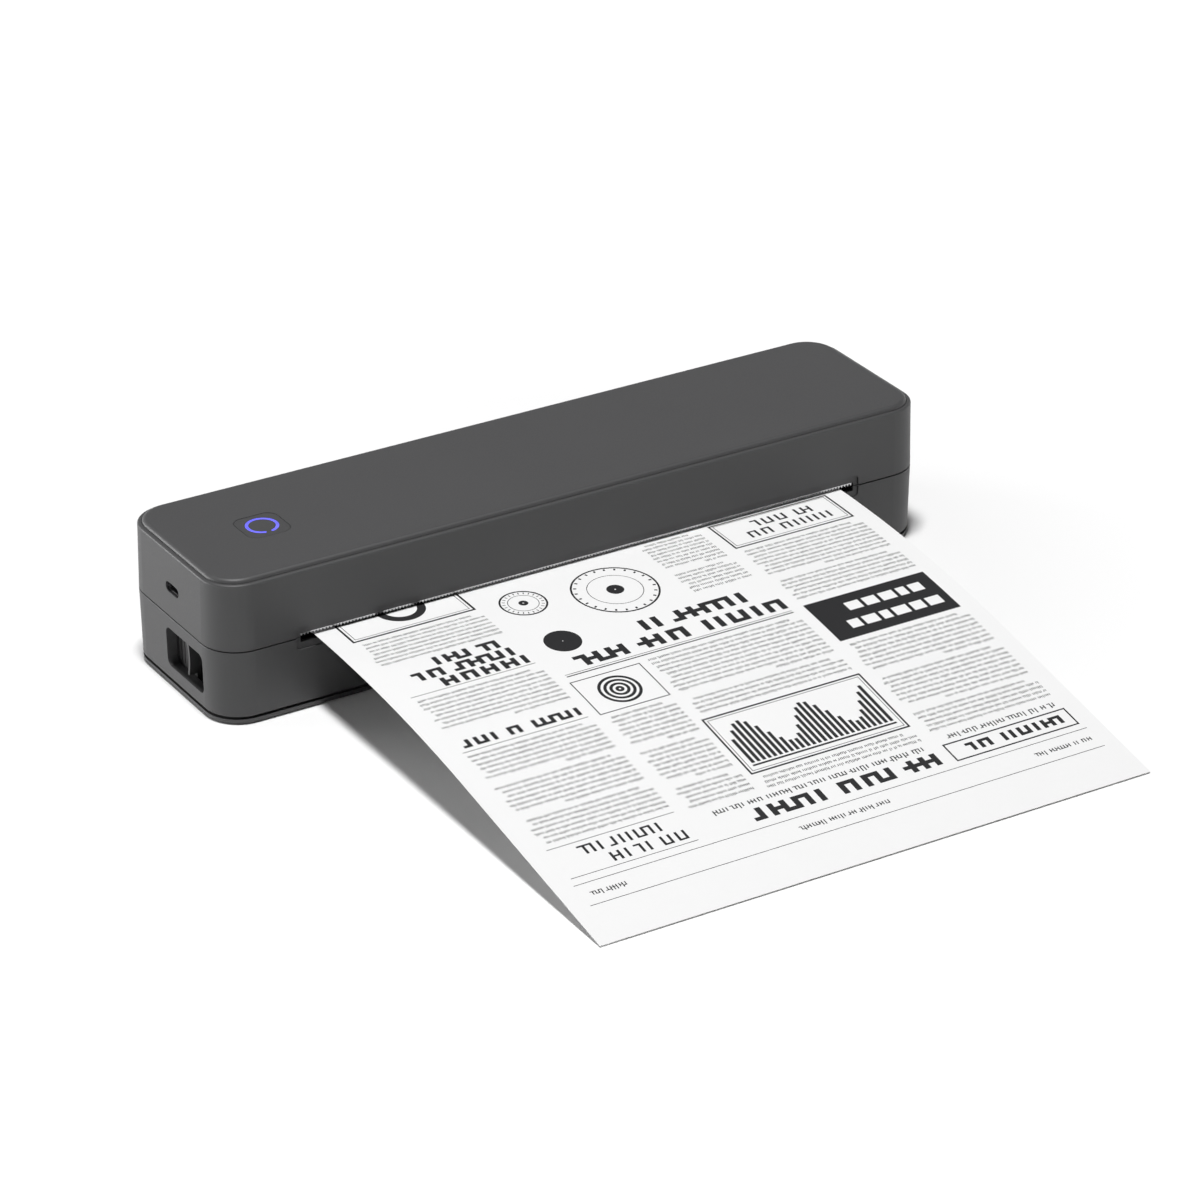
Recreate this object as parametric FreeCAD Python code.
import FreeCAD, Part
import math
import os

V = FreeCAD.Vector

# Millimetres. X runs along the case, Y from the paper slot to the hinge, Z up.
# The origin is the middle of the rubber mat's underside.

# Case
end_bay = 35.5
case_depth = 69.6
case_height = 53.2
corner_radius = 13.3
lower_proportion = 27.4
upper_proportion = 25.8
split_gap = 0.3
wall = 2.0
floor_thickness = 1.8
lower_draw_in = 0.4
upper_draw_in = 0.45
lower_edge_round = 0.8
seam_edge_round = 0.3
rim_drop = 1.4
rim_width = 1.4
rim_round = 0.8
tongue_width = 0.9
tongue_height = 1.2
tongue_clearance = 0.15
tongue_rear_gap = 12.0

# Base plate and rubber mat
mat_thickness = 0.8
mat_sink = 0.55
mat_end_margin = 28.5
mat_side_margin = 10.0
mat_corner_radius = 8.0
mat_clearance = 0.2
base_height = 2.85
base_inset = 0.5
base_round = 0.6
groove_height = 0.8
groove_depth = 1.3

# Top plate
plate_gap = 0.15
plate_seat_depth = 3.4
plate_thickness = 2.2
plate_edge_round = 1.7
plate_skirt = 2.0
plate_ledge_width = 2.0
plate_ledge_height = 1.5

# Power button with its LED ring
button_from_left = 34.85
button_y = -0.1
button_side = 16.0
button_corner = 4.0
button_gap = 0.18
button_sink = 0.05
button_flange = 1.0
button_flange_height = 0.8
button_flange_gap = 0.1
button_travel = 0.35
button_stem_radius = 2.0
ring_radius = 5.75
ring_stroke = 1.1
ring_depth = 0.7
ring_gap_angle = 33.0

# Paper
sheet_width = 210.0
sheet_thickness = 0.1
sheet_below_split = 0.26
sheet_bend_inside = 7.8
sheet_droop_radius = 556.0
sheet_droop_angle = 11.1
sheet_floor_gap = 0.5
sheet_lift_radius = 6.0
sheet_lift_offset = 1.0
roll_top_gap = 5.0
core_share = 0.464
core_wall = 1.4
core_clearance = 0.05
roll_sheet_gap = 0.3

# Paper slot, exit recess and tear bar
slot_side_gap = 5.2
slot_drop = 1.7
slot_rise = 1.35
recess_side = 1.9
recess_drop = 2.45
recess_rise = 2.65
recess_depth = 0.6
recess_corner = 1.5
tear_bar_thickness = 0.8
tear_bar_height = 4.4
tear_bar_setback = 0.6
tear_bar_gap = 0.2
tear_tooth_height = 1.0
tear_tooth_pitch = 1.25

# Paper bin with the two roll pegs
bin_wall = 1.0
bin_clearance = 1.2
bin_rest_gap = 0.1
bin_rim_drop = 4.1
bin_front_gap = 1.3
bin_rear_gap = 9.8
bin_end_gap = 0.8
bin_end_thickness = 1.5
bin_end_half_depth = 10.0
bin_end_rise = 6.7
peg_clearance = 0.3
peg_length = 4.0

# Platen
platen_share = 7 / 34
platen_paper_gap = 0.1
platen_latch_gap = 0.45
platen_overhang = 1.5
platen_shaft_radius = 2.0
platen_shaft_end = 2.3
bush_radius = 3.6
bush_length = 2.4
bearing_clearance = 0.05
press_clearance = 0.02

# Mechanism frame
frame_thickness = 1.2
frame_side_gap = 2.0
frame_front_gap = 4.0
frame_rear_reach = 2.5
frame_sheet_drop = 0.3
frame_notch_clearance = 0.7

# Gear train at the right end
gear_module = 0.5
platen_teeth = 24
idler_teeth = 30
pinion_teeth = 14
gear_gap = 1.9
gear_width = 4.0
gear_backlash = 0.14
gear_addendum = 0.8
gear_dedendum = 1.3
pressure_angle = 20.0
flank_steps = 4
full_turn = 360.0
idler_floor_gap = 3.0
idler_axle_radius = 1.2
idler_hub_radius = 2.6
idler_hub_length = 0.5

# Motor
motor_radius = 10.0
motor_end_gap = 7.8
motor_floor_gap = 1.8
motor_boss_radius = 3.0
motor_shaft_radius = 1.0
motor_ear_radius = 3.0
motor_ear_reach = 13.0
motor_ear_thickness = 0.8
bracket_thickness = 1.2
bracket_gap = 1.4
bracket_front_reach = 8.5
bracket_rear_reach = 17.0
bracket_rise = 8.1
bracket_foot = 10.0
bracket_screw_offset = 6.5
bracket_screw_inset = 3.0

# Paper guide and sensor
guide_end_gap = 1.0
guide_thickness = 1.8
guide_crest_round = 0.6
guide_platen_gap = 2.0
guide_sheet_gap = 0.35
sensor_x = 40.0
sensor_length = 9.0
sensor_depth = 3.2
sensor_height = 5.0
sensor_eye_spacing = 3.6

# Hinge
knuckle_skin = 0.1
knuckle_from_end = 28.5
knuckle_length = 5.0
knuckle_gap = 0.25
knuckle_root = 4.0
hinge_pin_radius = 0.8
hinge_relief_margin = 1.0
hinge_notch_margin = 0.35
hinge_rib_depth = 4.5
hinge_rib_height = 7.0

# Inner cover of the lid
tray_depth = 11.7
tray_thickness = 1.5
tray_gap = 0.3
tray_boss_inset = 7.6
tray_boss_radius = 4.0
tray_boss_height = 6.0
spacer_radius = 3.0
spacer_from_end = 38.0

# Boards, battery and what is on them
board_thickness = 1.2
board_end_gap = 6.5
board_length = 90.0
board_side_gap = 8.0
board_post_height = 1.8
board_post_radius = 2.6
board_screw_inset = 4.0
board_screw_setback = 12.0
switch_side = 6.2
switch_height = 2.2
switch_body_height = 1.5
switch_plunger_radius = 1.6
switch_gap = 0.1
radio_length = 20.0
radio_width = 14.0
radio_height = 2.4
radio_round = 0.5
radio_from_end = 28.0
radio_edge_gap = 7.0
battery_gap = 14.0
battery_end_gap = 28.5
battery_side_gap = 10.0
battery_height = 5.6
battery_round = 2.4

# USB-C socket on its own small board
usb_y = -0.76
usb_width = 8.94
usb_height = 3.26
usb_length = 7.4
usb_shell = 0.3
usb_back = 0.9
usb_setback = 0.9
usb_gap = 0.22
usb_tongue_width = 6.7
usb_tongue_height = 0.7
usb_tongue_length = 5.6
usb_board_thickness = 1.35
usb_board_length = 21.0
usb_board_front_gap = 1.1
usb_board_rear_reach = 12.0

# Print head in the lid
head_overhang = 2.0
head_front_reach = 7.5
head_rear_reach = 6.0
head_thickness = 0.8
head_paper_gap = 0.15
heater_width = 1.2
heater_height = 0.08
sink_thickness = 3.0
sink_overhang = 0.8
sink_end = 1.0
pivot_behind_head = 2.0
pivot_rise = 4.3
pivot_radius = 1.25
pivot_lug_radius = 2.6
pivot_lug_inset = 18.0
pivot_lug_length = 8.0
spring_room_share = 0.52
head_bracket_thickness = 1.2
head_bracket_reach = 3.5
ear_gap = 1.2
ear_below_pivot = 2.0
ear_half_depth = 2.8
spring_places = (-60.0, 30.0, 80.0)
spring_width = 12.0
spring_thickness = 0.4
spring_head_gap = 0.35
spring_clamp = 3.75
spring_foot = 3.75
flex_from_left = 48.5
flex_width = 26.0
flex_behind_bracket = 2.3
flex_thickness = 0.3
flex_drop = 3.2
flex_slot_clearance = 0.6
connector_depth = 5.0
connector_lip = 1.0

# Release window, slider and latch
window_y = -8.07
window_sill = 3.4
window_lintel = 4.6
window_length = 26.45
window_corner = 2.5
collar_wall = 1.2
slide_travel = 3.0
slider_face_depth = 2.4
slider_thickness = 1.6
slider_rear_reach = 10.9
slider_floor_gap = 0.7
slider_overlap = 0.55
grip_y = -7.35
grip_hollow = 0.4
grip_thickness = 1.1
grip_reach = 2.9
grip_end_gap = 1.3
slider_groove_pitch = 2.4
slider_groove_width = 0.5
slider_groove_depth = 0.4
rail_height = 1.5
rail_width = 1.0
rail_clearance = 0.3
rail_half_length = 24.0
latch_front_gap = 5.5
latch_bar_depth = 2.0
latch_bar_rise = 6.4
latch_bar_height = 2.5
hook_from_frame = 11.3
hook_width = 4.0
hook_thickness = 1.6
hook_nose = 2.6
hook_nose_height = 1.5
nose_drop = 4.0
catch_engage_gap = 0.5
catch_nose_gap = 0.35
catch_foot = 2.8
catch_thickness = 1.2
catch_tab = 6.0

# Screws
screw_radius = 1.0
screw_head_radius = 2.0
screw_head_height = 1.3
screw_shank = 4.0
screw_socket_radius = 0.7
screw_socket_depth = 0.7
screw_clearance = 0.05
floor_screw_end_gap = 0.3
base_screw_end_inset = 9.5
base_screw_side_inset = 8.0
base_boss_radius = 3.5
base_boss_height = 3.6
frame_screw_inset = 12.5
frame_screw_count = 4
frame_screw_gap = 0.6

# Faces of the case
half_length = sheet_width / 2 + end_bay
half_depth = case_depth / 2
left_face = -half_length
front_face = -half_depth
floor_top = base_height + floor_thickness
split_height = case_height * lower_proportion / (lower_proportion + upper_proportion)
lower_top = split_height - split_gap / 2
upper_bottom = split_height + split_gap / 2
rim_height = case_height - rim_drop
tongue_end_y = half_depth - tongue_rear_gap
plate_inset = upper_draw_in + rim_width + plate_gap
plate_seat_height = case_height - plate_seat_depth
plate_underside = case_height - plate_thickness
tray_bottom = case_height - tray_depth
tray_top = tray_bottom + tray_thickness
mat_half_length = half_length - mat_end_margin
mat_half_depth = half_depth - mat_side_margin
base_screw_x = half_length - base_screw_end_inset
base_screw_y = half_depth - base_screw_side_inset
button_x = left_face + button_from_left
button_top = case_height - button_sink

# Paper path and what lies along it
sheet_half = sheet_width / 2
sheet_height = split_height - sheet_below_split
sheet_bottom = sheet_height - sheet_thickness / 2
sheet_top = sheet_height + sheet_thickness / 2
slot_half_length = sheet_half + slot_side_gap
slot_bottom = sheet_height - slot_drop
slot_top = split_height + slot_rise
recess_half_length = slot_half_length + recess_side
recess_bottom = slot_bottom - recess_drop
recess_top = slot_top + recess_rise
tear_bar_root = sheet_top + tear_bar_gap + tear_tooth_height
tear_bar_top = tear_bar_root + tear_bar_height
latch_bar_y = front_face + latch_front_gap
latch_bar_bottom = floor_top + latch_bar_rise
latch_bar_top = latch_bar_bottom + latch_bar_height
platen_y = front_face + platen_share * case_depth
platen_top = sheet_bottom - platen_paper_gap
platen_radius = (platen_top - latch_bar_top - platen_latch_gap) / 2
platen_z = platen_top - platen_radius
platen_half_length = sheet_half + platen_overhang
guide_y = platen_y + platen_radius + guide_platen_gap
guide_half_length = sheet_half - guide_end_gap
guide_top = sheet_bottom - guide_sheet_gap
sheet_lift_y = guide_y + sheet_lift_offset
bin_inner_end = sheet_half + bin_end_gap
bin_half_length = bin_inner_end + bin_end_thickness
bin_rim_height = sheet_height - bin_rim_drop
frame_half_span = platen_half_length + frame_side_gap
frame_outer = frame_half_span + frame_thickness
frame_front = front_face + frame_front_gap
frame_rear = guide_y + frame_rear_reach
frame_top = sheet_bottom - frame_sheet_drop
bin_floor = floor_top + bin_rest_gap + bin_wall
bin_front = frame_rear + bin_front_gap
bin_rear = half_depth - bin_rear_gap
roll_by_height = (tray_bottom - roll_top_gap - bin_floor - bin_clearance) / 2
roll_by_depth = (bin_rear - bin_front) / 2 - bin_wall - bin_clearance
roll_radius = min(roll_by_height, roll_by_depth)
core_radius = core_share * roll_radius
bin_radius = roll_radius + bin_clearance
roll_y = bin_front + bin_wall + bin_radius
roll_z = bin_floor + bin_radius
gear_start = frame_outer + gear_gap
gear_end = gear_start + gear_width
bracket_x = gear_end + bracket_gap
motor_face = bracket_x + bracket_thickness
motor_length = half_length - motor_end_gap - motor_face
motor_z = floor_top + motor_floor_gap + motor_radius
idler_z = floor_top + idler_floor_gap + gear_module * (idler_teeth / 2 + gear_addendum)
floor_screw_shank = floor_thickness + frame_thickness - floor_screw_end_gap

# Hinge and lid
hinge_y = half_depth - wall
knuckle_radius = wall - knuckle_skin
knuckle_start = half_length - knuckle_from_end
hinge_relief = wall + hinge_relief_margin
hinge_notch = knuckle_radius + hinge_notch_margin
tray_boss_x = half_length - tray_boss_inset
tray_boss_y = half_depth - tray_boss_inset
board_left = left_face + board_end_gap
board_right = board_left + board_length
board_half_depth = half_depth - board_side_gap
board_bottom = tray_top + board_post_height
board_top = board_bottom + board_thickness
battery_left = board_right + battery_gap
battery_right = half_length - battery_end_gap
battery_half_depth = half_depth - battery_side_gap
usb_z = tray_bottom - usb_board_thickness - press_clearance - usb_height / 2
head_bottom = sheet_top + head_paper_gap
head_front = platen_y - head_front_reach
head_rear = platen_y + head_rear_reach
head_half_length = sheet_half + head_overhang
sink_bottom = head_bottom + head_thickness
sink_top = sink_bottom + sink_thickness
sink_half_length = head_half_length + sink_end
pivot_y = head_rear + pivot_behind_head
pivot_z = head_bottom + pivot_rise
pivot_lug_x = sink_half_length - pivot_lug_inset
head_bracket_bottom = sink_top + spring_room_share * (tray_bottom - sink_top)
head_bracket_top = head_bracket_bottom + head_bracket_thickness
head_bracket_rear = pivot_y + head_bracket_reach
ear_start = sink_half_length + ear_gap
ear_end = ear_start + head_bracket_thickness
spacer_x = sink_half_length - spacer_from_end
flex_left = left_face + flex_from_left
flex_right = flex_left + flex_width
flex_y = head_bracket_rear + flex_behind_bracket
flex_bottom = head_bracket_bottom - flex_drop
flex_top = board_bottom - connector_lip

# Release and latch
window_bottom = floor_top + window_sill
window_top = lower_top - window_lintel
window_height = window_top - window_bottom
window_z = (window_bottom + window_top) / 2
window_rear = window_y + window_length / 2
slider_x = left_face + wall + slider_face_depth
slider_end_x = slider_x + slider_thickness
slider_rear = window_rear + slider_rear_reach
slider_bottom = floor_top + slider_floor_gap
slider_top = window_top + slider_overlap
grip_bottom = window_bottom + grip_end_gap
grip_top = window_top - grip_end_gap
hook_start = frame_outer + hook_from_frame
nose_bottom = frame_top - nose_drop
catch_y = latch_bar_y + hook_thickness + hook_nose + catch_engage_gap


def box(x0, x1, y0, y1, z0, z1):
    return Part.makeBox(x1 - x0, y1 - y0, z1 - z0, V(x0, y0, z0))


def rod_x(x0, x1, y, z, radius):
    return Part.makeCylinder(radius, x1 - x0, V(x0, y, z), V(1, 0, 0))


def rod_z(x, y, z0, z1, radius):
    return Part.makeCylinder(radius, z1 - z0, V(x, y, z0), V(0, 0, 1))


def ring_x(x0, x1, y, z, outer, inner):
    return rod_x(x0, x1, y, z, outer).cut(rod_x(x0, x1, y, z, inner))


def prism_x(points, x0, x1):
    corners = [V(x0, y, z) for y, z in points]
    face = Part.Face(Part.makePolygon(corners + corners[:1]))
    return face.extrude(V(x1 - x0, 0, 0))


def prism_z(points, z0, z1):
    corners = [V(x, y, z0) for x, y in points]
    face = Part.Face(Part.makePolygon(corners + corners[:1]))
    return face.extrude(V(0, 0, z1 - z0))


def joined(first, *others):
    return first.fuse(list(others)).removeSplitter()


def mirrored(shape):
    return shape.mirror(V(0, 0, 0), V(1, 0, 0))


def both_sides(shape):
    return [shape, mirrored(shape)]


def rounded_rectangle(u_half, v_half, radius):
    # Eight corner points of a rounded rectangle with the middle of each corner arc.
    edges = []
    arc = radius * (1 - math.sqrt(0.5))
    points = [(u_half, -v_half + radius), (u_half, v_half - radius), (u_half - radius, v_half),
              (radius - u_half, v_half), (-u_half, v_half - radius), (-u_half, radius - v_half),
              (radius - u_half, -v_half), (u_half - radius, -v_half)]
    middles = [(u_half - arc, v_half - arc), (arc - u_half, v_half - arc),
               (arc - u_half, arc - v_half), (u_half - arc, arc - v_half)]
    for side in range(4):
        start, end = points[2 * side], points[2 * side + 1]
        after = points[(2 * side + 2) % 8]
        edges.append((start, end))
        edges.append((end, middles[side], after))
    return edges


def wire_of(edges, place):
    made = []
    for edge in edges:
        spots = [place(u, v) for u, v in edge]
        if len(spots) == 2:
            made.append(Part.LineSegment(*spots).toShape())
        else:
            made.append(Part.Arc(*spots).toShape())
    return Part.Wire(made)


def outline(inset, z):
    edges = rounded_rectangle(half_length - inset, half_depth - inset, corner_radius - inset)
    return wire_of(edges, lambda u, v: V(u, v, z))


def case_block(inset0, z0, inset1, z1):
    return Part.makeLoft([outline(inset0, z0), outline(inset1, z1)], True, True)


def rounded_post(x, y, u_half, v_half, radius, z0, z1):
    edges = rounded_rectangle(u_half, v_half, radius)
    wire = wire_of(edges, lambda u, v: V(x + u, y + v, z0))
    return Part.Face(wire).extrude(V(0, 0, z1 - z0))


def rounded_bar_x(x0, x1, y, z, u_half, v_half, radius):
    edges = rounded_rectangle(u_half, v_half, radius)
    wire = wire_of(edges, lambda u, v: V(x0, y + u, z + v))
    return Part.Face(wire).extrude(V(x1 - x0, 0, 0))


def rounded_bar_y(y0, y1, x, z, u_half, v_half, radius):
    edges = rounded_rectangle(u_half, v_half, radius)
    wire = wire_of(edges, lambda u, v: V(x + u, y0, z + v))
    return Part.Face(wire).extrude(V(0, y1 - y0, 0))


def outer_edges_at(shape, z, reach=0.01):
    return [e for e in shape.Edges if abs(e.BoundBox.ZMin - z) < reach and abs(e.BoundBox.ZMax - z) < reach]


def screw(x, y, seat, shank_length=screw_shank, down=True):
    # Pan-head screw with a round socket; its head sits on the seat and its shank points away from the head.
    way = -1 if down else 1
    head_far = seat - way * screw_head_height
    low, high = sorted((seat, head_far))
    head = rod_z(x, y, low, high, screw_head_radius)
    low, high = sorted((seat, seat + way * shank_length))
    shank = rod_z(x, y, low, high, screw_radius)
    low, high = sorted((head_far, head_far + way * screw_socket_depth))
    return joined(head, shank).cut(rod_z(x, y, low, high, screw_socket_radius))


def screw_hole(x, y, z0, z1):
    return rod_z(x, y, z0, z1, screw_radius + screw_clearance)


def upper_inset(z):
    return upper_draw_in * (z - upper_bottom) / (rim_height - upper_bottom)


def lower_inset(z):
    return lower_draw_in * (lower_top - z) / (lower_top - base_height)


def exit_recess():
    # Shallow rounded pan pressed into the front face round the slot.
    middle = (recess_bottom + recess_top) / 2
    half = (recess_top - recess_bottom) / 2
    y0 = front_face - wall
    return rounded_bar_y(y0, front_face + recess_depth, 0, middle, recess_half_length, half, recess_corner)


def paper_slot(top):
    y = (front_face - wall, front_face + 2 * wall)
    return box(-slot_half_length, slot_half_length, *y, slot_bottom, top)


def window_cut(margin, x0, x1):
    return rounded_bar_x(x0, x1, window_y, window_z, window_length / 2 + margin,
                         window_height / 2 + margin, window_corner + margin)


def knuckle(x0, x1, up):
    root = knuckle_root if up else -knuckle_root
    low, high = sorted((split_height, split_height + root))
    barrel = rod_x(x0, x1, hinge_y, split_height, knuckle_radius)
    web = box(x0, x1, hinge_y - knuckle_radius, hinge_y + knuckle_radius, low, high)
    return joined(barrel, web)


def knuckle_places():
    # The lid's knuckle and the two of the lower shell beside it, on the right-hand side.
    lid = (knuckle_start, knuckle_start + knuckle_length)
    near = (lid[0] - knuckle_gap - knuckle_length, lid[0] - knuckle_gap)
    far = (lid[1] + knuckle_gap, lid[1] + knuckle_gap + knuckle_length)
    return lid, near, far


def hinge_axis_cut(x0, x1, radius):
    return rod_x(x0, x1, hinge_y, split_height, radius)


def base_screw_places():
    return [(sx * base_screw_x, sy * base_screw_y) for sx in (-1, 1) for sy in (-1, 1)]


def bracket_span():
    return idler_centre()[0] - bracket_front_reach, pinion_centre()[0] + bracket_rear_reach


def bracket_screw_places():
    x = bracket_x + bracket_screw_offset
    front, rear = bracket_span()
    return [(x, front + bracket_screw_inset), (x, rear - bracket_screw_inset)]


def frame_screw_places():
    y = guide_y - guide_thickness / 2 - screw_head_radius - frame_screw_gap
    outer = frame_half_span - frame_screw_inset
    step = 2 * outer / (frame_screw_count - 1)
    return [(step * place - outer, y) for place in range(frame_screw_count)]


def tray_screw_places():
    return [(sx * tray_boss_x, sy * tray_boss_y) for sx in (-1, 1) for sy in (-1, 1)]


def board_screw_places():
    xs = (board_left + board_screw_setback, board_right - board_screw_inset)
    ys = (board_screw_inset - board_half_depth, board_half_depth - board_screw_inset)
    return [(x, y) for x in xs for y in ys]


def spacer_places():
    y = (head_front + head_bracket_rear) / 2
    return [(x, y) for x in (-spacer_x, 0.0, spacer_x)]


def make_lower_shell():
    outer = case_block(lower_draw_in, base_height, 0, lower_top)
    outer = outer.makeFillet(lower_edge_round, outer_edges_at(outer, base_height))
    outer = outer.makeFillet(seam_edge_round, outer_edges_at(outer, lower_top))
    cavity = case_block(wall + lower_draw_in, floor_top, wall, lower_top + split_gap)
    shell = outer.cut(cavity)
    tongue_outer = case_block(wall - tongue_width, lower_top - wall, wall - tongue_width,
                              lower_top + tongue_height)
    tongue_inner = case_block(wall, lower_top - wall, wall, lower_top + tongue_height)
    keep = box(left_face, half_length, front_face, tongue_end_y, lower_top - wall, case_height)
    shell = joined(shell, tongue_outer.cut(tongue_inner).common(keep))
    rib_low = lower_top - hinge_rib_height
    inner_face = half_depth - wall - lower_inset(rib_low)
    rib_half = half_length - corner_radius
    rib = prism_x([(inner_face - hinge_rib_depth, lower_top), (inner_face + wall / 2, lower_top),
                   (inner_face + wall / 2, rib_low)], -rib_half, rib_half)
    bosses = [rod_z(x, y, base_height, floor_top + base_boss_height, base_boss_radius)
              for x, y in base_screw_places()]
    rail_y = (-rail_half_length, rail_half_length)
    rail_rear_x = slider_end_x + rail_clearance
    rails = [box(slider_x - rail_clearance - rail_width, slider_x - rail_clearance, *rail_y,
                 base_height, floor_top + rail_height),
             box(rail_rear_x, rail_rear_x + rail_width, *rail_y, base_height, floor_top + rail_height)]
    collar = window_cut(collar_wall, left_face + wall / 2, slider_x - rail_clearance)
    shell = joined(shell, rib, collar, *bosses, *rails)
    shell = shell.cut(hinge_axis_cut(left_face, half_length, hinge_relief))
    lid, near, far = knuckle_places()
    for x0, x1 in (near, far):
        shell = joined(shell, *both_sides(knuckle(x0, x1, False)))
    bore = hinge_axis_cut(near[0], far[1] + wall, hinge_pin_radius + press_clearance)
    cuts = both_sides(bore) + [exit_recess(), paper_slot(case_height)]
    cuts.append(window_cut(0, left_face - wall, slider_x - rail_clearance))
    for x, y in base_screw_places():
        cuts.append(screw_hole(x, y, 0, base_height + screw_shank))
    for x, y in frame_screw_places() + bracket_screw_places():
        cuts.append(screw_hole(x, y, base_height, floor_top))
    return shell.cut(cuts)


def make_base_plate():
    low = mat_thickness - mat_sink
    shelf = base_height - groove_height
    plate = case_block(base_inset + base_round / 2, low, base_inset, shelf)
    plate = plate.makeFillet(base_round, outer_edges_at(plate, low))
    neck_inset = base_inset + groove_depth
    plate = joined(plate, case_block(neck_inset, shelf, neck_inset, base_height))
    cuts = [rounded_post(0, 0, mat_half_length + mat_clearance, mat_half_depth + mat_clearance,
                         mat_corner_radius + mat_clearance, 0, mat_thickness)]
    for x, y in base_screw_places():
        cuts.append(screw_hole(x, y, 0, base_height))
        cuts.append(rod_z(x, y, 0, low + screw_head_height, screw_head_radius + screw_clearance))
    return plate.cut(cuts)


def make_rubber_mat():
    return rounded_post(0, 0, mat_half_length, mat_half_depth, mat_corner_radius, 0, mat_thickness)


def make_base_screws():
    seat = mat_thickness - mat_sink + screw_head_height
    return Part.makeCompound([screw(x, y, seat, down=False) for x, y in base_screw_places()])


def make_mechanism_frame():
    y = (frame_front, frame_rear)
    bar = box(-frame_outer, frame_outer, *y, floor_top, floor_top + frame_thickness)
    cheek = box(frame_half_span, frame_outer, *y, floor_top, frame_top)
    frame = joined(bar, *both_sides(cheek))
    across = (-frame_outer, frame_outer)
    notch_rear = latch_bar_y + latch_bar_depth + slide_travel + frame_notch_clearance
    cuts = [box(*across, frame_front, notch_rear, latch_bar_bottom - frame_notch_clearance,
                latch_bar_top + frame_notch_clearance),
            rod_x(*across, platen_y, platen_z, bush_radius + press_clearance)]
    for x, y in frame_screw_places():
        cuts.append(screw_hole(x, y, floor_top, floor_top + frame_thickness))
    return frame.cut(cuts)


def make_frame_screws():
    seat = floor_top + frame_thickness
    return Part.makeCompound([screw(x, y, seat, floor_screw_shank) for x, y in frame_screw_places()])


def make_platen_bushes():
    middle = (frame_half_span + frame_outer) / 2
    bush = ring_x(middle - bush_length / 2, middle + bush_length / 2, platen_y, platen_z,
                  bush_radius, platen_shaft_radius + bearing_clearance)
    return Part.makeCompound(both_sides(bush))


def make_platen_shaft():
    return rod_x(-frame_outer - platen_shaft_end, gear_end, platen_y, platen_z, platen_shaft_radius)


def make_platen_rubber():
    return ring_x(-platen_half_length, platen_half_length, platen_y, platen_z,
                  platen_radius, platen_shaft_radius + press_clearance)


def gear_outline(teeth, phase):
    # Involute flanks as short chords; the angle runs from +Y towards +Z.
    pitch_radius = gear_module * teeth / 2
    base = pitch_radius * math.cos(math.radians(pressure_angle))
    tip = pitch_radius + gear_addendum * gear_module
    root = pitch_radius - gear_dedendum * gear_module
    start = max(base, root)
    involute = math.tan(math.radians(pressure_angle)) - math.radians(pressure_angle)
    half_thick = math.pi / teeth / 2 - gear_backlash / pitch_radius / 2
    flank = []
    for step in range(flank_steps + 1):
        radius = start + (tip - start) * step / flank_steps
        roll = math.sqrt(max((radius / base) ** 2 - 1, 0))
        flank.append((radius, half_thick + involute - (roll - math.atan(roll))))
    if root < start:
        flank.insert(0, (root, flank[0][1]))
    points = []
    for tooth in range(teeth):
        middle = math.radians(phase) + 2 * math.pi * tooth / teeth
        for radius, angle in flank:
            points.append((radius * math.cos(middle - angle), radius * math.sin(middle - angle)))
        for radius, angle in reversed(flank):
            points.append((radius * math.cos(middle + angle), radius * math.sin(middle + angle)))
    return points


def make_gear(teeth, phase, centre, bore):
    points = [(centre[0] + y, centre[1] + z) for y, z in gear_outline(teeth, phase)]
    gear = prism_x(points, gear_start, gear_end)
    return gear.cut(rod_x(gear_start, gear_end, *centre, bore))


def meshed_phase(phase, teeth, next_teeth, direction):
    # Phase that puts a gap of the next gear on the tooth that faces it.
    lead = (direction - phase) % (full_turn / teeth)
    return direction + full_turn / 2 + (lead * teeth + full_turn / 2) / next_teeth


def gear_distance(teeth, next_teeth):
    return gear_module * (teeth + next_teeth) / 2


def idler_direction():
    # Angle from the platen's axis to the idler's, which lies a set height over the floor.
    return math.degrees(math.asin((idler_z - platen_z) / gear_distance(platen_teeth, idler_teeth)))


def idler_centre():
    reach = gear_distance(platen_teeth, idler_teeth) * math.cos(math.radians(idler_direction()))
    return (platen_y + reach, idler_z)


def pinion_direction():
    return math.degrees(math.asin((motor_z - idler_z) / gear_distance(idler_teeth, pinion_teeth)))


def pinion_centre():
    reach = gear_distance(idler_teeth, pinion_teeth) * math.cos(math.radians(pinion_direction()))
    return (idler_centre()[0] + reach, motor_z)


def make_platen_gear():
    return make_gear(platen_teeth, idler_direction(), (platen_y, platen_z),
                     platen_shaft_radius + press_clearance)


def idler_phase():
    return meshed_phase(idler_direction(), platen_teeth, idler_teeth, idler_direction())


def make_idler_gear():
    gear = make_gear(idler_teeth, idler_phase(), idler_centre(), idler_axle_radius + bearing_clearance)
    hub = ring_x(gear_end, gear_end + idler_hub_length, *idler_centre(), idler_hub_radius,
                 idler_axle_radius + bearing_clearance)
    return joined(gear, hub)


def make_idler_axle():
    return rod_x(frame_outer + press_clearance, motor_face, *idler_centre(), idler_axle_radius)


def make_motor_pinion():
    phase = meshed_phase(idler_phase(), idler_teeth, pinion_teeth, pinion_direction())
    gear = make_gear(pinion_teeth, phase, pinion_centre(), motor_shaft_radius)
    shaft = rod_x(gear_start, motor_face + motor_length / 2, *pinion_centre(), motor_shaft_radius)
    return joined(gear, shaft)


def motor_ear_places():
    y, z = pinion_centre()
    return [(y - motor_ear_reach, z), (y + motor_ear_reach, z)]


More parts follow.
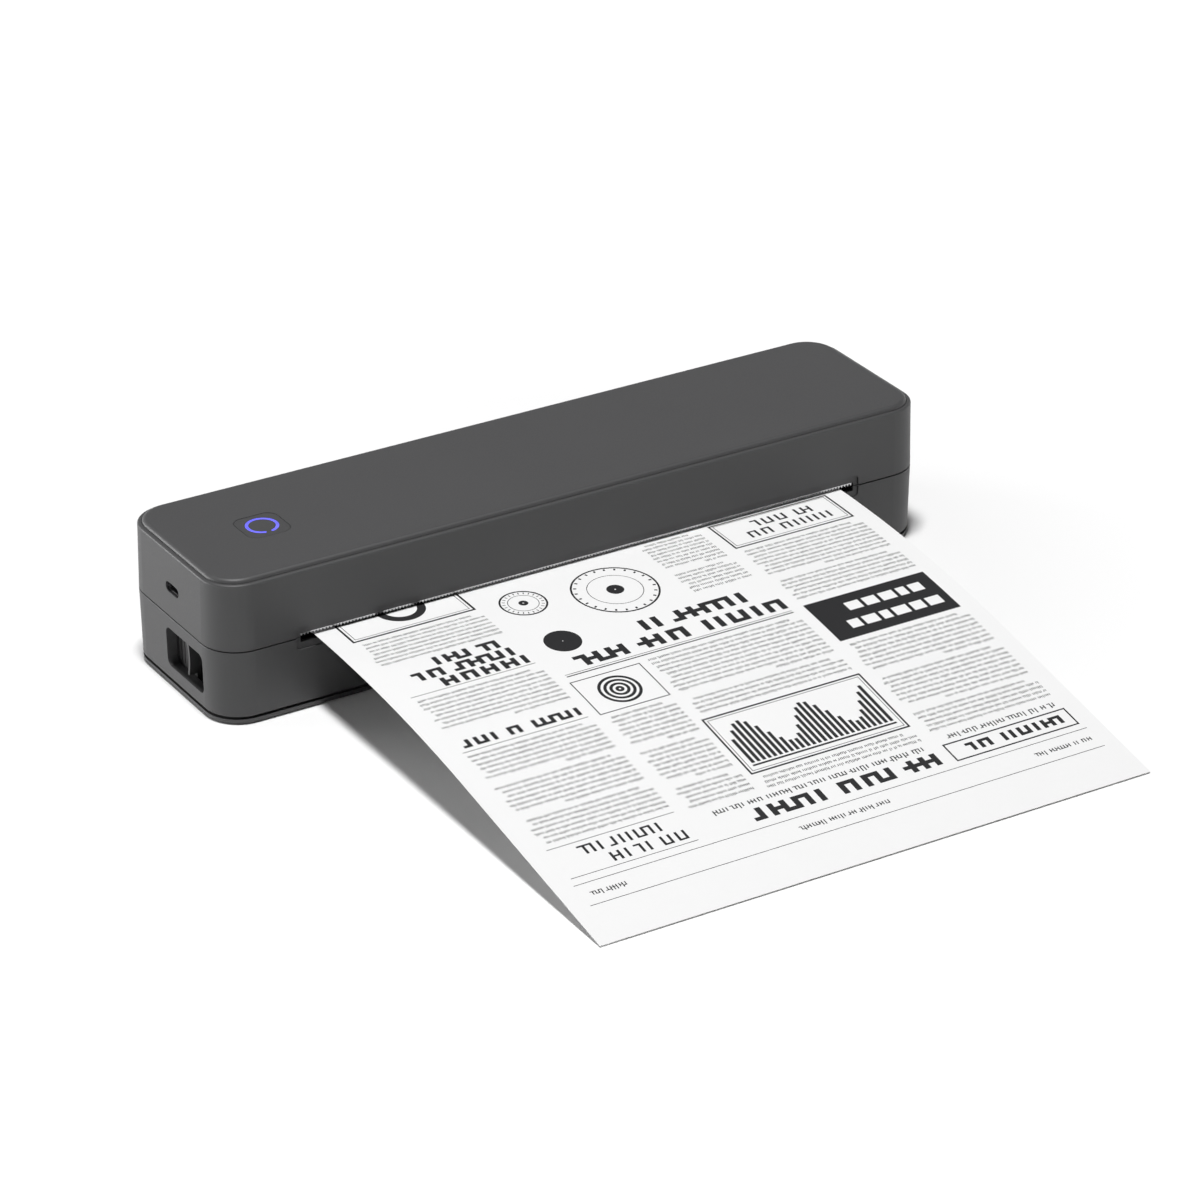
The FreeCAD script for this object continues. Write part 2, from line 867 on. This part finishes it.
def make_drive_motor():
    y, z = pinion_centre()
    x0 = motor_face
    can = rod_x(x0, x0 + motor_length, y, z, motor_radius)
    can = can.makeChamfer(motor_ear_thickness, [e for e in can.Edges if e.BoundBox.XMin > x0 + motor_radius])
    boss = rod_x(bracket_x, x0, y, z, motor_boss_radius)
    ears = []
    for ear_y, ear_z in motor_ear_places():
        low, high = sorted((y, ear_y))
        ears.append(box(x0, x0 + motor_ear_thickness, low, high, z - motor_ear_radius, z + motor_ear_radius))
        ears.append(rod_x(x0, x0 + motor_ear_thickness, ear_y, ear_z, motor_ear_radius))
    motor = joined(can, boss, *ears)
    deep = x0 + motor_length / 2 + bearing_clearance
    cuts = [rod_x(bracket_x, deep, y, z, motor_shaft_radius + bearing_clearance)]
    for place in motor_ear_places():
        cuts.append(rod_x(x0, x0 + motor_ear_thickness, *place, screw_radius + screw_clearance))
    return motor.cut(cuts)


def make_motor_bracket():
    x0 = bracket_x
    y = bracket_span()
    wall_plate = box(x0, motor_face, *y, floor_top, pinion_centre()[1] + bracket_rise)
    foot = box(x0, x0 + bracket_foot, *y, floor_top, floor_top + bracket_thickness)
    bracket = joined(wall_plate, foot)
    cuts = [rod_x(x0, motor_face, *pinion_centre(), motor_boss_radius + press_clearance),
            rod_x(x0, motor_face, *idler_centre(), idler_axle_radius + press_clearance)]
    for place in motor_ear_places():
        cuts.append(rod_x(x0, motor_face, *place, screw_radius + screw_clearance))
    for x, y in bracket_screw_places():
        cuts.append(screw_hole(x, y, floor_top, floor_top + bracket_thickness))
    return bracket.cut(cuts)


def make_motor_screws():
    seat = floor_top + bracket_thickness
    screws = [screw(x, y, seat, floor_screw_shank) for x, y in bracket_screw_places()]
    x0 = motor_face + motor_ear_thickness
    for y, z in motor_ear_places():
        head = rod_x(x0, x0 + screw_head_height, y, z, screw_head_radius)
        screws.append(joined(head, rod_x(bracket_x, x0, y, z, screw_radius)))
    return Part.makeCompound(screws)


def make_paper_guide():
    y = (guide_y - guide_thickness / 2, guide_y + guide_thickness / 2)
    low = floor_top + frame_thickness
    guide = box(-guide_half_length, guide_half_length, *y, low, guide_top)
    crest = [e for e in outer_edges_at(guide, guide_top) if e.Length > guide_half_length]
    guide = guide.makeFillet(guide_crest_round, crest)
    return guide.cut(sensor_block(press_clearance))


def sensor_block(margin):
    return box(sensor_x - margin, sensor_x + sensor_length + margin, guide_y - sensor_depth / 2,
               guide_y + sensor_depth / 2, guide_top - sensor_height - margin, guide_top + margin)


def make_paper_sensor():
    eye_radius = sensor_depth / 4
    body = sensor_block(0)
    middle = sensor_x + sensor_length / 2
    eyes = []
    for side in (-1, 1):
        x = middle + side * sensor_eye_spacing / 2
        eyes.append(rod_z(x, guide_y, guide_top - eye_radius, guide_top, eye_radius))
    return body.cut(eyes)


def make_paper_bin():
    length = (-bin_half_length, bin_half_length)
    outer_radius = bin_radius + bin_wall
    y = (roll_y - outer_radius, roll_y + outer_radius)
    trough = ring_x(*length, roll_y, roll_z, outer_radius, bin_radius)
    trough = trough.common(box(*length, *y, floor_top, bin_rim_height))
    across = (bin_inner_end, bin_half_length)
    disc = rod_x(*across, roll_y, roll_z, outer_radius)
    low_end = disc.common(box(*across, *y, floor_top, bin_rim_height))
    tall_end = disc.common(box(*across, roll_y - bin_end_half_depth, roll_y + bin_end_half_depth,
                               floor_top, roll_z + bin_end_rise))
    peg_radius = core_radius - core_wall - peg_clearance
    peg = rod_x(bin_inner_end - peg_length, bin_half_length, roll_y, roll_z, peg_radius)
    return joined(trough, *both_sides(joined(low_end, tall_end, peg)))


def make_roll_core():
    return ring_x(-sheet_half, sheet_half, roll_y, roll_z, core_radius, core_radius - core_wall)


def make_paper_roll():
    return ring_x(-sheet_half, sheet_half, roll_y, roll_z, roll_radius, core_radius + core_clearance)


def sheet_path():
    # Middle line of the sheet from the roll's top, over the guide, through the slot and down to the table.
    lift = (sheet_lift_y, sheet_height + sheet_lift_radius)
    reach = roll_radius + roll_sheet_gap + sheet_thickness / 2
    gap = math.hypot(roll_y - lift[0], lift[1] - roll_z)
    slope = math.asin((reach + sheet_lift_radius) / gap) - math.atan2(lift[1] - roll_z, roll_y - lift[0])

    def on_lift(angle):
        return (lift[0] + sheet_lift_radius * math.sin(angle), lift[1] - sheet_lift_radius * math.cos(angle))

    on_roll = (roll_y - reach * math.sin(slope), roll_z + reach * math.cos(slope))
    start = front_face + sheet_bend_inside
    droop = math.radians(sheet_droop_angle)

    def on_droop(angle):
        return (start - sheet_droop_radius * math.sin(angle),
                sheet_height - sheet_droop_radius * (1 - math.cos(angle)))

    bent = on_droop(droop)
    drop = bent[1] - sheet_floor_gap - sheet_thickness / 2
    end = (bent[0] - drop / math.tan(droop), bent[1] - drop)
    return [(on_roll, on_lift(slope)), (on_lift(slope), on_lift(slope / 2), on_lift(0)),
            (on_lift(0), on_droop(0)), (on_droop(0), on_droop(droop / 2), bent), (bent, end)]


def make_paper_sheet():
    path = sheet_path()
    wire = wire_of(path, lambda y, z: V(-sheet_half, y, z))
    first, second = (V(0, *point) for point in path[0][:2])
    along = (second - first).normalize()
    across = V(0, -along.z, along.y) * (sheet_thickness / 2)
    corner = V(-sheet_half, *path[0][0])
    width = V(sheet_width, 0, 0)
    edge = [corner - across, corner + across, corner + across + width, corner - across + width]
    profile = Part.makePolygon(edge + edge[:1])
    return wire.makePipeShell([profile], True, False)


def hinge_pin_span():
    lid, near, far = knuckle_places()
    return near[0], far[1]


def make_hinge_pins():
    x0, x1 = hinge_pin_span()
    return Part.makeCompound(both_sides(hinge_axis_cut(x0, x1, hinge_pin_radius)))


def make_upper_shell():
    outer = case_block(0, upper_bottom, upper_draw_in, rim_height)
    outer = outer.makeFillet(rim_round, outer_edges_at(outer, rim_height))
    outer = outer.makeFillet(seam_edge_round, outer_edges_at(outer, upper_bottom))
    ledge_bottom = plate_seat_height - plate_ledge_height
    room_inset = wall + upper_inset(ledge_bottom)
    room = case_block(wall, upper_bottom, room_inset, ledge_bottom)
    mouth_inset = plate_inset + plate_ledge_width
    mouth = case_block(mouth_inset, ledge_bottom, mouth_inset, plate_seat_height)
    seat_inset = plate_inset - plate_gap
    seat = case_block(seat_inset, plate_seat_height, seat_inset, rim_height)
    rebate_inset = wall - tongue_width - tongue_clearance
    rebate = case_block(rebate_inset, upper_bottom, rebate_inset, upper_bottom + tongue_height)
    rebate = rebate.common(box(left_face, half_length, front_face, tongue_end_y + tongue_clearance,
                               upper_bottom, case_height))
    shell = outer.cut([room, mouth, seat, rebate])
    bosses = []
    for x, y in tray_screw_places():
        boss = rod_z(x, y, tray_bottom - tray_boss_height, tray_bottom, tray_boss_radius)
        bosses.append(boss.common(outer))
    shell = joined(shell, *bosses)
    lid, near, far = knuckle_places()
    notches = []
    for x0, x1 in (near, far):
        span = (x0 - knuckle_gap, x1 + knuckle_gap)
        gate = box(*span, hinge_y, half_depth + wall, upper_bottom, split_height + hinge_notch)
        notches += both_sides(joined(hinge_axis_cut(*span, hinge_notch), gate))
    shell = joined(shell.cut(notches), *both_sides(knuckle(*lid, True)))
    cuts = both_sides(hinge_axis_cut(*lid, hinge_pin_radius + bearing_clearance))
    cuts += [exit_recess(), paper_slot(slot_top), tear_bar_seat()]
    cuts.append(rounded_bar_x(left_face - wall, left_face + 2 * wall, usb_y, usb_z, usb_width / 2 + usb_gap,
                              usb_height / 2 + usb_gap, usb_height / 2 + usb_gap - press_clearance))
    for x, y in tray_screw_places():
        cuts.append(screw_hole(x, y, tray_top - screw_shank, tray_bottom))
    return shell.cut(cuts)


def tear_bar_face():
    return front_face + recess_depth + tear_bar_setback


def tear_bar_seat():
    y0 = tear_bar_face()
    top = tear_bar_top + press_clearance
    return box(-slot_half_length, slot_half_length, y0, y0 + 2 * wall, slot_bottom, top)


def make_tear_bar():
    # Steel strip behind the front wall with pointed teeth along its lower edge.
    y0 = tear_bar_face()
    count = int(2 * slot_half_length / tear_tooth_pitch)
    pitch = 2 * (slot_half_length - press_clearance) / count
    edge = [(press_clearance - slot_half_length, tear_bar_top)]
    for tooth in range(count):
        x = press_clearance - slot_half_length + pitch * tooth
        edge.append((x, tear_bar_root))
        edge.append((x + pitch / 2, tear_bar_root - tear_tooth_height))
    edge.append((slot_half_length - press_clearance, tear_bar_root))
    edge.append((slot_half_length - press_clearance, tear_bar_top))
    corners = [V(x, y0, z) for x, z in edge]
    face = Part.Face(Part.makePolygon(corners + corners[:1]))
    return face.extrude(V(0, tear_bar_thickness, 0))


def make_top_plate():
    plate = case_block(plate_inset, plate_seat_height, plate_inset, case_height)
    plate = plate.makeFillet(plate_edge_round, outer_edges_at(plate, case_height))
    hollow_inset = plate_inset + plate_skirt
    hollow = case_block(hollow_inset, plate_seat_height, hollow_inset, plate_underside)
    half = button_side / 2 + button_gap
    corner = button_corner + button_gap
    hole = rounded_post(button_x, button_y, half, half, corner, plate_underside, case_height)
    return plate.cut([hollow, hole])


def ring_solid():
    # Open ring with round ends, its gap towards the front.
    low = button_top - ring_depth
    centre = ring_radius - ring_stroke / 2
    ring = rod_z(button_x, button_y, low, button_top, ring_radius)
    ring = ring.cut(rod_z(button_x, button_y, low, button_top, ring_radius - ring_stroke))
    half = math.radians(ring_gap_angle / 2)
    far = ring_radius * 2
    wedge = prism_z([(button_x, button_y), (button_x - far * math.tan(half), button_y - far),
                     (button_x + far * math.tan(half), button_y - far)], low, button_top)
    ends = []
    for side in (-1, 1):
        x = button_x + side * centre * math.sin(half)
        y = button_y - centre * math.cos(half)
        ends.append(rod_z(x, y, low, button_top, ring_stroke / 2))
    return joined(ring.cut(wedge), *ends)


def make_power_button():
    flange_top = plate_underside - button_flange_gap
    flange_bottom = flange_top - button_flange_height
    half = button_side / 2
    cap = rounded_post(button_x, button_y, half, half, button_corner, flange_bottom, button_top)
    wide = half + button_flange
    flange = rounded_post(button_x, button_y, wide, wide, button_corner, flange_bottom, flange_top)
    stem_bottom = board_top + switch_height + switch_gap + button_travel
    stem = rod_z(button_x, button_y, stem_bottom, flange_bottom, button_stem_radius)
    return joined(cap, flange, stem).cut(ring_solid())


def make_led_ring():
    return ring_solid()


def make_lid_inner_cover():
    inset = wall + upper_inset(tray_top) + tray_gap
    tray = case_block(inset, tray_bottom, inset, tray_top)
    spacers = [rod_z(x, y, head_bracket_top, tray_bottom, spacer_radius) for x, y in spacer_places()]
    posts = [rod_z(x, y, tray_top, board_bottom, board_post_radius) for x, y in board_screw_places()]
    tray = joined(tray, *spacers, *posts)
    cuts = [box(flex_left - flex_slot_clearance, flex_right + flex_slot_clearance,
                flex_y - flex_thickness - flex_slot_clearance, flex_y + flex_slot_clearance,
                tray_bottom, tray_top)]
    for x, y in tray_screw_places():
        cuts.append(screw_hole(x, y, tray_bottom, tray_top))
    for x, y in board_screw_places():
        cuts.append(screw_hole(x, y, board_top - screw_shank, board_bottom))
    for x, y in spacer_places():
        cuts.append(screw_hole(x, y, head_bracket_bottom, head_bracket_bottom + screw_shank))
    return tray.cut(cuts)


def make_lid_screws():
    return Part.makeCompound([screw(x, y, tray_top) for x, y in tray_screw_places()])


def make_main_board():
    board = box(board_left, board_right, -board_half_depth, board_half_depth, board_bottom, board_top)
    corners = [e for e in board.Edges if abs(e.BoundBox.ZLength - board_thickness) < press_clearance
               and e.BoundBox.XMax < board_left + press_clearance]
    board = board.makeFillet(corner_radius - wall, corners)
    return board.cut([screw_hole(x, y, board_bottom, board_top) for x, y in board_screw_places()])


def make_board_screws():
    return Part.makeCompound([screw(x, y, board_top) for x, y in board_screw_places()])


def make_power_switch():
    half = switch_side / 2
    body_top = board_top + switch_body_height
    body = box(button_x - half, button_x + half, button_y - half, button_y + half, board_top, body_top)
    return joined(body, rod_z(button_x, button_y, body_top, board_top + switch_height, switch_plunger_radius))


def make_radio_module():
    x0 = board_right - radio_from_end
    y0 = board_half_depth - radio_edge_gap - radio_width
    can = box(x0, x0 + radio_length, y0, y0 + radio_width, board_top, board_top + radio_height)
    return can.makeFillet(radio_round, outer_edges_at(can, board_top + radio_height))


def make_battery_pack():
    z = (tray_top, tray_top + battery_height)
    pack = box(battery_left, battery_right, -battery_half_depth, battery_half_depth, *z)
    return pack.makeFillet(battery_round, [e for e in pack.Edges if e.BoundBox.XLength > battery_half_depth])


def usb_mouth():
    return left_face + upper_inset(usb_z) + usb_setback


def make_usb_board():
    x0 = usb_mouth() + wall
    y = (catch_y + catch_foot + catch_tab + usb_board_front_gap, usb_y + usb_board_rear_reach)
    return box(x0, x0 + usb_board_length, *y, tray_bottom - usb_board_thickness, tray_bottom)


def make_usb_c_socket():
    x0 = usb_mouth()
    outer = rounded_bar_x(x0, x0 + usb_length, usb_y, usb_z, usb_width / 2, usb_height / 2,
                          usb_height / 2 - press_clearance)
    half_w = usb_width / 2 - usb_shell
    half_h = usb_height / 2 - usb_shell
    inner = rounded_bar_x(x0, x0 + usb_length - usb_back, usb_y, usb_z, half_w, half_h,
                          half_h - press_clearance)
    return outer.cut(inner)


def make_usb_tongue():
    x1 = usb_mouth() + usb_length - usb_back
    y = (usb_y - usb_tongue_width / 2, usb_y + usb_tongue_width / 2)
    z = (usb_z - usb_tongue_height / 2, usb_z + usb_tongue_height / 2)
    return box(x1 - usb_tongue_length, x1, *y, *z)


def make_thermal_head():
    plate = box(-head_half_length, head_half_length, head_front, head_rear, head_bottom, sink_bottom)
    heater = box(-sheet_half, sheet_half, platen_y - heater_width / 2, platen_y + heater_width / 2,
                 head_bottom - heater_height, head_bottom)
    return joined(plate, heater)


def make_head_heatsink():
    bar = box(-sink_half_length, sink_half_length, head_front - sink_overhang, head_rear + sink_overhang,
              sink_bottom, sink_top)
    lug_x = (pivot_lug_x - pivot_lug_length / 2, pivot_lug_x + pivot_lug_length / 2)
    lug = joined(rod_x(*lug_x, pivot_y, pivot_z, pivot_lug_radius),
                 box(*lug_x, head_rear - pivot_lug_radius, pivot_y, sink_bottom + sink_overhang, pivot_z))
    bar = joined(bar, *both_sides(lug))
    bore = pivot_radius + bearing_clearance
    return bar.cut(rod_x(-sink_half_length, sink_half_length, pivot_y, pivot_z, bore))


def make_head_bracket():
    plate = box(-ear_end, ear_end, head_front, head_bracket_rear, head_bracket_bottom, head_bracket_top)
    ear = box(ear_start, ear_end, pivot_y - ear_half_depth, pivot_y + ear_half_depth,
              pivot_z - ear_below_pivot, head_bracket_bottom)
    bracket = joined(plate, *both_sides(ear))
    cuts = [rod_x(-ear_end, ear_end, pivot_y, pivot_z, pivot_radius + press_clearance)]
    for x, y in spacer_places():
        cuts.append(screw_hole(x, y, head_bracket_bottom, head_bracket_top))
    return bracket.cut(cuts)


def make_head_bracket_screws():
    return Part.makeCompound([screw(x, y, head_bracket_bottom, down=False) for x, y in spacer_places()])


def make_head_pivot_rod():
    return rod_x(-ear_end, ear_end, pivot_y, pivot_z, pivot_radius)


def make_head_springs():
    # Leaf springs that hang from the bracket and press on the heatsink, drawn at the lifted head's height.
    t = spring_thickness
    top = head_bracket_bottom
    low = sink_top + spring_head_gap
    rear = head_bracket_rear - t
    bend = rear - spring_clamp
    tip = platen_y - spring_foot / 2
    foot = platen_y + spring_foot / 2
    points = [(rear, top), (rear, top - t), (bend, top - t), (foot, low), (tip, low),
              (tip, low + t), (foot, low + t), (bend - t, top)]
    leaf = prism_x(points, -spring_width / 2, spring_width / 2)
    leaves = []
    for x in spring_places:
        copy = leaf.copy()
        copy.translate(V(x, 0, 0))
        leaves.append(copy)
    return Part.makeCompound(leaves)


def make_head_flex():
    return box(flex_left, flex_right, flex_y - flex_thickness, flex_y, flex_bottom, flex_top)


def make_flex_connector():
    y0 = flex_y - connector_depth / 2
    block = box(flex_left - connector_depth / 2, flex_right + connector_depth / 2, y0, y0 + connector_depth,
                tray_top + press_clearance, board_bottom)
    y = (flex_y - flex_thickness - press_clearance, flex_y + press_clearance)
    slot = box(flex_left - press_clearance, flex_right + press_clearance, *y, tray_top,
               flex_top + press_clearance)
    return block.cut(slot)


def make_lid_catches():
    # Strips that hang from the inner cover, each with a foot that the latch hook closes over.
    foot_top = nose_bottom - catch_nose_gap
    x = (hook_start, hook_start + hook_width)
    back = catch_y + catch_foot
    strip = box(*x, back, back + catch_thickness, foot_top - catch_thickness, tray_bottom)
    foot = box(*x, catch_y, back, foot_top - catch_thickness, foot_top)
    tab = box(*x, back, back + catch_tab, tray_bottom - catch_thickness, tray_bottom)
    return Part.makeCompound(both_sides(joined(strip, foot, tab)))


def make_release_slider():
    # Plate behind the window with fine grooves and an upright fin, hollowed a little for the fingertip.
    x = (slider_x, slider_end_x)
    front = grip_y - grip_thickness
    plate = box(*x, front, slider_rear, slider_bottom, slider_top)
    fin = box(slider_x - grip_reach, slider_x, front, grip_y, grip_bottom, grip_top)
    height = grip_top - grip_bottom
    radius = (height ** 2 / 4 + grip_hollow ** 2) / (2 * grip_hollow)
    centre = V(slider_x - grip_reach + grip_hollow - radius, front, window_z)
    fin = fin.cut(Part.makeCylinder(radius, grip_thickness, centre, V(0, 1, 0)))
    slider = joined(plate, fin)
    y = grip_y + slider_groove_pitch
    grooves = []
    while y < window_rear + slide_travel:
        grooves.append(box(slider_x, slider_x + slider_groove_depth, y, y + slider_groove_width,
                           grip_bottom, grip_top))
        y += slider_groove_pitch
    return slider.cut(grooves)


def make_latch_bar():
    # Bar along the front, joined to the slider by an arm at the left.
    z = (latch_bar_bottom, latch_bar_top)
    bar = box(slider_end_x, hook_start + hook_width, latch_bar_y, latch_bar_y + latch_bar_depth, *z)
    arm = box(slider_end_x, slider_end_x + latch_bar_depth, latch_bar_y, slider_rear, *z)
    return joined(bar, arm)


def make_latch_hooks():
    # A hook on each end of the latch bar, with a nose that closes over the lid's catch.
    x = (hook_start, hook_start + hook_width)
    hook_top = nose_bottom + hook_nose_height
    post = box(*x, latch_bar_y, latch_bar_y + hook_thickness, latch_bar_top, hook_top)
    nose = box(*x, latch_bar_y, latch_bar_y + hook_thickness + hook_nose, nose_bottom, hook_top)
    return Part.makeCompound(both_sides(joined(post, nose)))


makers = [
    make_lower_shell, make_base_plate, make_rubber_mat, make_base_screws,
    make_mechanism_frame, make_frame_screws, make_platen_bushes, make_paper_guide, make_paper_sensor,
    make_motor_bracket, make_drive_motor, make_motor_screws, make_idler_axle,
    make_paper_bin, make_hinge_pins, make_paper_sheet,
    make_platen_shaft, make_platen_rubber, make_platen_gear, make_idler_gear, make_motor_pinion,
    make_roll_core, make_paper_roll,
    make_upper_shell, make_top_plate, make_tear_bar, make_lid_inner_cover, make_lid_screws,
    make_main_board, make_board_screws, make_power_switch, make_radio_module, make_battery_pack,
    make_usb_board, make_usb_c_socket, make_usb_tongue,
    make_head_bracket, make_head_bracket_screws, make_head_pivot_rod, make_head_springs,
    make_head_flex, make_flex_connector, make_lid_catches,
    make_thermal_head, make_head_heatsink,
    make_power_button, make_led_ring,
    make_release_slider, make_latch_bar, make_latch_hooks,
]

os.makedirs("parts", exist_ok=True)
for maker in makers:
    shape = maker()
    shape.exportStep("parts/" + maker.__name__[len("make_"):] + ".step")
